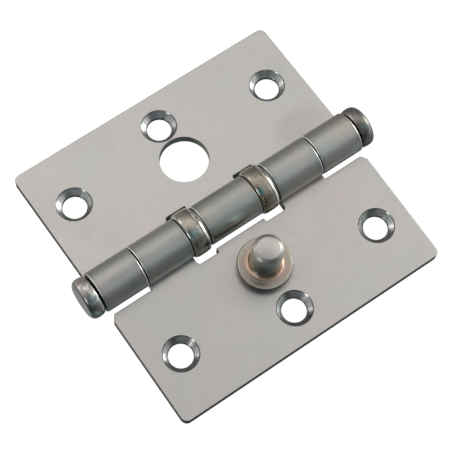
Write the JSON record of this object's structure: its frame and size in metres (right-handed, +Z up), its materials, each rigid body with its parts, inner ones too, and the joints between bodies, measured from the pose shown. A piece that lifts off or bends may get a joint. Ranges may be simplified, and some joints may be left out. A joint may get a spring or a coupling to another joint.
{
  "type": "butt hinge",
  "caption": "Square butt hinge for a door: rolled steel leaves on one fixed pin, ball thrust bearings between the middle knuckles, countersunk screw holes and a security stud.",
  "frame": {"origin": "on the ground, straight below the middle of the pin, as the opened hinge lies on its two bearings and its outer long edges", "axes": "+X along the pin towards the cap, +Y from the pin towards the frame leaf, +Z up, the side on which the leaves show their countersinks and the stud stands"},
  "size_m": [0.0986, 0.0888, 0.0202],
  "materials": {
    "leaf_steel": "satin zinc plate",
    "pin_steel": "worn bright zinc plate",
    "stud_steel": "zinc plate with a warm passivate",
    "bearing_shell": "bright nickel-like plate",
    "bearing_race": "ground hardened steel",
    "ball_steel": "polished"
  },
  "bodies": {
    "frame": {"frame_leaf": "leaf_steel", "hinge_pin": "pin_steel", "pin_cap": "pin_steel", "left_bearing_free_race": "bearing_race", "right_bearing_shell": "bearing_shell", "right_bearing_seat_race": "bearing_race"},
    "door": {"door_leaf": "leaf_steel", "security_stud": "stud_steel", "left_bearing_shell": "bearing_shell", "left_bearing_seat_race": "bearing_race", "right_bearing_free_race": "bearing_race"},
    "left_ball_set": {"left_bearing_balls": "ball_steel"},
    "right_ball_set": {"right_bearing_balls": "ball_steel"}
  },
  "joints": [
    {"name": "leaf_pivot", "type": "hinge", "parent": "frame", "child": "door", "pos_m": [0, 0, 0.0071], "axis": [-1, 0, 0], "range_deg": [-85, 184.89]},
    {"name": "left_ball_orbit", "type": "hinge", "parent": "frame", "child": "left_ball_set", "pos_m": [-0.0119, 0, 0.0071], "axis": [-1, 0, 0], "range_deg": [-43, 93]},
    {"name": "right_ball_orbit", "type": "hinge", "parent": "frame", "child": "right_ball_set", "pos_m": [0.0119, 0, 0.0071], "axis": [-1, 0, 0], "range_deg": [-43, 93]}
  ],
  "couplings": [
    {"joint": "left_ball_orbit", "follows": "leaf_pivot", "ratio": 0.5},
    {"joint": "right_ball_orbit", "follows": "leaf_pivot", "ratio": 0.5}
  ]
}
